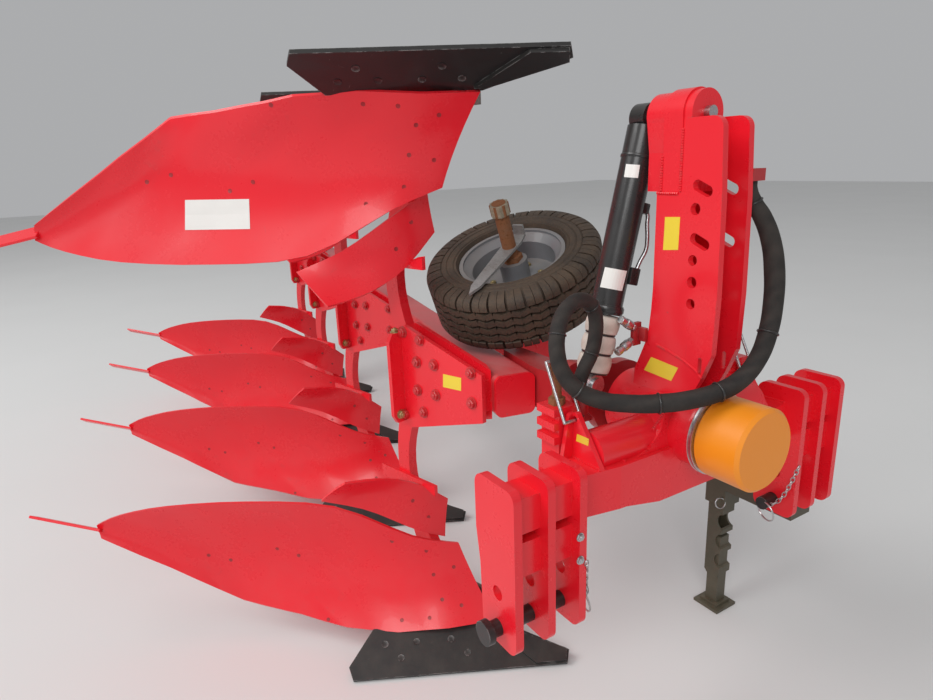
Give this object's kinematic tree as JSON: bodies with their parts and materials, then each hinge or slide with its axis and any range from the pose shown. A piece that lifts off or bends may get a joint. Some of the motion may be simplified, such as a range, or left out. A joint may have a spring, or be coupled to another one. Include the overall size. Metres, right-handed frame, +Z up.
{
  "type": "reversible mounted mouldboard plough",
  "caption": "Reversible mounted mouldboard plough with upper and lower bodies on one beam, turnover headstock, cylinder, support wheel and parking stand.",
  "frame": {"origin": "centre of the whole plough's outline on the ground, as it is parked", "axes": "+X forward towards the tractor, along the turnover axis; +Y to the driver's left; +Z up"},
  "size_m": [4.3894, 2.0664, 1.8],
  "materials": {
    "red_paint": "gloss",
    "dark_red_paint": "satin",
    "black_share": "satin",
    "wear_steel": "rough",
    "bright_steel": "satin",
    "rusty_steel": "rusty",
    "orange_cap": "satin",
    "olive_steel": "satin",
    "black_paint": "gloss",
    "beige_wrap": "matte",
    "rim_silver": "satin",
    "tyre_rubber": "dusty",
    "hose_sleeve": "worn"
  },
  "bodies": {
    "headstock": {"crossbeam": "red_paint", "bearing_housing": "red_paint", "tower": "red_paint", "tower_lugs": "red_paint", "tower_pin": "bright_steel", "hitch_plates_right": "red_paint", "hitch_plates_left": "red_paint", "link_pin_right": "black_share", "link_pin_left": "black_share", "bearing_cap": "orange_cap", "clamp_band": "bright_steel", "stop_screws": "rusty_steel", "stand_sleeve": "olive_steel", "gussets": "red_paint", "wire_loops": "bright_steel", "hose_clips": "dark_red_paint", "hose_bundle": "hose_sleeve"},
    "stand": {"stand_leg": "olive_steel"},
    "barrel": {"cylinder_barrel": "black_paint"},
    "rod": {"cylinder_rod": "bright_steel", "rod_wraps": "beige_wrap"},
    "swing": {"turnover_shaft": "bright_steel", "swing_arm": "dark_red_paint", "main_beam": "red_paint", "beam_cap": "red_paint", "brackets": "red_paint", "legs_1": "red_paint", "legs_2": "red_paint", "legs_3": "red_paint", "legs_4": "red_paint", "mouldboards_1": "red_paint", "mouldboards_2": "red_paint", "mouldboards_3": "red_paint", "mouldboards_4": "red_paint", "shares_1": "black_share", "shares_2": "black_share", "shares_3": "black_share", "shares_4": "black_share", "trashboards": "red_paint", "landsides": "wear_steel", "tail_strips": "red_paint", "wheel_arm": "red_paint", "wheel_spindle": "rusty_steel", "scraper": "wear_steel"},
    "wheel": {"wheel_rim": "rim_silver", "tyre": "tyre_rubber"}
  },
  "joints": [
    {"name": "turnover", "type": "hinge", "parent": "headstock", "child": "swing", "pos_m": [1.953, 0.421, 0.9], "axis": [-1, 0, 0], "range_deg": [0, 180]},
    {"name": "stand_slide", "type": "slide", "parent": "headstock", "child": "stand", "axis": [0, 0, 1], "range_m": [0, 0.25]},
    {"name": "cylinder_swing", "type": "hinge", "parent": "headstock", "child": "barrel", "pos_m": [1.813, 0.421, 1.615], "axis": [-1, 0, 0], "range_deg": [-30, 0]},
    {"name": "cylinder_slide", "type": "slide", "parent": "barrel", "child": "rod", "axis": [0, 0.2538, 0.9673], "range_m": [0, 0.13]},
    {"name": "wheel_spin", "type": "hinge", "parent": "swing", "child": "wheel", "pos_m": [1.278, 0.426, 1.174], "axis": [0.1719, -0.3686, 0.9135], "continuous": true}
  ],
  "couplings": [
    {"joint": "cylinder_swing", "follows": "turnover", "ratio": -0.16},
    {"joint": "cylinder_slide", "follows": "turnover", "m_per_rad": 0.041}
  ]
}
